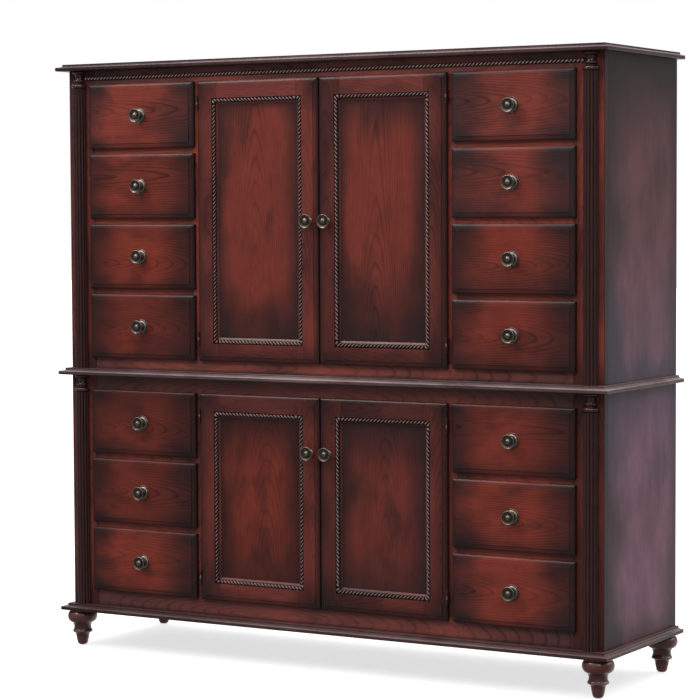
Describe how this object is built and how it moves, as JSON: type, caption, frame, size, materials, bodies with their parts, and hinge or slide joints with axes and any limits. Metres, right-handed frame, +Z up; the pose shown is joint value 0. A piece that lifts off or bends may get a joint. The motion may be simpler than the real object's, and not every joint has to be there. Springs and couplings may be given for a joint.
{
  "type": "dresser",
  "caption": "Two-tier wooden dresser: lipped drawers beside paired rope-edged doors in both cases, with reeded half columns, moulded boards and turned feet.",
  "frame": {"origin": "on the floor under the middle of the whole dresser's box", "axes": "+X to the dresser's right-hand end as seen from the front, +Y to its back, +Z up"},
  "size_m": [1.707, 0.5052, 1.654],
  "materials": {
    "cherry_front": "satin cherry stain, burnished dark at every edge",
    "cherry_panel": "satin cherry stain with upright grain, dark at the edges",
    "cherry_door": "satin dark cherry stain",
    "cherry_frame": "satin dark cherry stain",
    "cherry_case": "satin dark cherry stain",
    "cherry_moulding": "satin dark cherry stain with bright lips",
    "cherry_rope": "dark cherry stain, shiny on the strands",
    "knob_pewter": "antique pewter, worn bright on the rings",
    "hinge_bronze": "dark bronze with bright middle knuckles"
  },
  "bodies": {
    "case": {"feet": "cherry_moulding", "base_moulding": "cherry_moulding", "lower_carcase": "cherry_case", "lower_face_frame": "cherry_frame", "waist_moulding": "cherry_moulding", "upper_carcase": "cherry_case", "upper_face_frame": "cherry_frame", "top_board": "cherry_moulding", "half_columns": "cherry_moulding", "frieze_rope": "cherry_rope", "shelves": "cherry_case", "frame_hinges": "hinge_bronze"},
    "lower_left_drawer_1_unit": {"lower_left_drawer_1": "cherry_front", "lower_left_drawer_1_knob": "knob_pewter"},
    "lower_left_drawer_2_unit": {"lower_left_drawer_2": "cherry_front", "lower_left_drawer_2_knob": "knob_pewter"},
    "lower_left_drawer_3_unit": {"lower_left_drawer_3": "cherry_front", "lower_left_drawer_3_knob": "knob_pewter"},
    "lower_right_drawer_1_unit": {"lower_right_drawer_1": "cherry_front", "lower_right_drawer_1_knob": "knob_pewter"},
    "lower_right_drawer_2_unit": {"lower_right_drawer_2": "cherry_front", "lower_right_drawer_2_knob": "knob_pewter"},
    "lower_right_drawer_3_unit": {"lower_right_drawer_3": "cherry_front", "lower_right_drawer_3_knob": "knob_pewter"},
    "upper_left_drawer_1_unit": {"upper_left_drawer_1": "cherry_front", "upper_left_drawer_1_knob": "knob_pewter"},
    "upper_left_drawer_2_unit": {"upper_left_drawer_2": "cherry_front", "upper_left_drawer_2_knob": "knob_pewter"},
    "upper_left_drawer_3_unit": {"upper_left_drawer_3": "cherry_front", "upper_left_drawer_3_knob": "knob_pewter"},
    "upper_left_drawer_4_unit": {"upper_left_drawer_4": "cherry_front", "upper_left_drawer_4_knob": "knob_pewter"},
    "upper_right_drawer_1_unit": {"upper_right_drawer_1": "cherry_front", "upper_right_drawer_1_knob": "knob_pewter"},
    "upper_right_drawer_2_unit": {"upper_right_drawer_2": "cherry_front", "upper_right_drawer_2_knob": "knob_pewter"},
    "upper_right_drawer_3_unit": {"upper_right_drawer_3": "cherry_front", "upper_right_drawer_3_knob": "knob_pewter"},
    "upper_right_drawer_4_unit": {"upper_right_drawer_4": "cherry_front", "upper_right_drawer_4_knob": "knob_pewter"},
    "lower_left_door_leaf": {"lower_left_door_frame": "cherry_door", "lower_left_door_panel": "cherry_panel", "lower_left_door_rope": "cherry_rope", "lower_left_door_knob": "knob_pewter", "lower_left_door_hinges": "hinge_bronze"},
    "lower_right_door_leaf": {"lower_right_door_frame": "cherry_door", "lower_right_door_panel": "cherry_panel", "lower_right_door_rope": "cherry_rope", "lower_right_door_knob": "knob_pewter", "lower_right_door_hinges": "hinge_bronze"},
    "upper_left_door_leaf": {"upper_left_door_frame": "cherry_door", "upper_left_door_panel": "cherry_panel", "upper_left_door_rope": "cherry_rope", "upper_left_door_knob": "knob_pewter", "upper_left_door_hinges": "hinge_bronze"},
    "upper_right_door_leaf": {"upper_right_door_frame": "cherry_door", "upper_right_door_panel": "cherry_panel", "upper_right_door_rope": "cherry_rope", "upper_right_door_knob": "knob_pewter", "upper_right_door_hinges": "hinge_bronze"}
  },
  "joints": [
    {"name": "lower_left_drawer_1_pull", "type": "slide", "parent": "case", "child": "lower_left_drawer_1_unit", "axis": [0, -1, 0], "range_m": [0, 0.3]},
    {"name": "lower_left_drawer_2_pull", "type": "slide", "parent": "case", "child": "lower_left_drawer_2_unit", "axis": [0, -1, 0], "range_m": [0, 0.3]},
    {"name": "lower_left_drawer_3_pull", "type": "slide", "parent": "case", "child": "lower_left_drawer_3_unit", "axis": [0, -1, 0], "range_m": [0, 0.3]},
    {"name": "lower_right_drawer_1_pull", "type": "slide", "parent": "case", "child": "lower_right_drawer_1_unit", "axis": [0, -1, 0], "range_m": [0, 0.3]},
    {"name": "lower_right_drawer_2_pull", "type": "slide", "parent": "case", "child": "lower_right_drawer_2_unit", "axis": [0, -1, 0], "range_m": [0, 0.3]},
    {"name": "lower_right_drawer_3_pull", "type": "slide", "parent": "case", "child": "lower_right_drawer_3_unit", "axis": [0, -1, 0], "range_m": [0, 0.3]},
    {"name": "upper_left_drawer_1_pull", "type": "slide", "parent": "case", "child": "upper_left_drawer_1_unit", "axis": [0, -1, 0], "range_m": [0, 0.3]},
    {"name": "upper_left_drawer_2_pull", "type": "slide", "parent": "case", "child": "upper_left_drawer_2_unit", "axis": [0, -1, 0], "range_m": [0, 0.3]},
    {"name": "upper_left_drawer_3_pull", "type": "slide", "parent": "case", "child": "upper_left_drawer_3_unit", "axis": [0, -1, 0], "range_m": [0, 0.3]},
    {"name": "upper_left_drawer_4_pull", "type": "slide", "parent": "case", "child": "upper_left_drawer_4_unit", "axis": [0, -1, 0], "range_m": [0, 0.3]},
    {"name": "upper_right_drawer_1_pull", "type": "slide", "parent": "case", "child": "upper_right_drawer_1_unit", "axis": [0, -1, 0], "range_m": [0, 0.3]},
    {"name": "upper_right_drawer_2_pull", "type": "slide", "parent": "case", "child": "upper_right_drawer_2_unit", "axis": [0, -1, 0], "range_m": [0, 0.3]},
    {"name": "upper_right_drawer_3_pull", "type": "slide", "parent": "case", "child": "upper_right_drawer_3_unit", "axis": [0, -1, 0], "range_m": [0, 0.3]},
    {"name": "upper_right_drawer_4_pull", "type": "slide", "parent": "case", "child": "upper_right_drawer_4_unit", "axis": [0, -1, 0], "range_m": [0, 0.3]},
    {"name": "lower_left_door_swing", "type": "hinge", "parent": "case", "child": "lower_left_door_leaf", "pos_m": [-0.3865, -0.2218, 0.451], "axis": [0, 0, -1], "range_deg": [0, 90]},
    {"name": "lower_right_door_swing", "type": "hinge", "parent": "case", "child": "lower_right_door_leaf", "pos_m": [0.3865, -0.2218, 0.451], "axis": [0, 0, 1], "range_deg": [0, 90]},
    {"name": "upper_left_door_swing", "type": "hinge", "parent": "case", "child": "upper_left_door_leaf", "pos_m": [-0.3865, -0.2218, 1.211], "axis": [0, 0, -1], "range_deg": [0, 90]},
    {"name": "upper_right_door_swing", "type": "hinge", "parent": "case", "child": "upper_right_door_leaf", "pos_m": [0.3865, -0.2218, 1.211], "axis": [0, 0, 1], "range_deg": [0, 90]}
  ]
}
